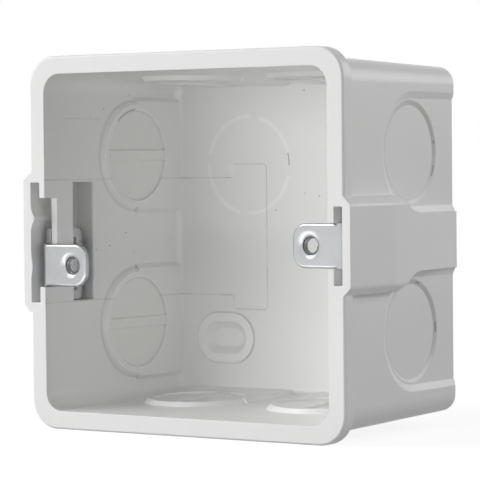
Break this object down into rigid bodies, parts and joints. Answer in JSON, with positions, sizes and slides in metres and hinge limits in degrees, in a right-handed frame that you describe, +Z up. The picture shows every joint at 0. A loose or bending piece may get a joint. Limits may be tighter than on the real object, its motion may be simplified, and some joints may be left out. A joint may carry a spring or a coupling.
{
  "type": "switch box",
  "caption": "Square flush wall box for a switch or socket, moulded with drafted walls, round knock-outs and side pockets that hold a fixed and a sliding threaded screw lug.",
  "frame": {"origin": "middle of the front rim's plane", "axes": "+X to the right as seen from the front, through the two lugs; +Y into the box, towards its rear wall; +Z up, along the sliding lug's travel"},
  "size_m": [0.0825, 0.0485, 0.079],
  "materials": {
    "moulding": "white rigid PVC with a faint sheen",
    "plated_steel": "bright zinc plating"
  },
  "bodies": {
    "box": {"box_body": "moulding", "fixed_lug": "plated_steel"},
    "lug": {"sliding_lug": "plated_steel"}
  },
  "joints": [
    {"name": "lug_slide", "type": "slide", "parent": "box", "child": "lug", "axis": [0, 0, 1], "range_m": [0, 0.0097]}
  ]
}
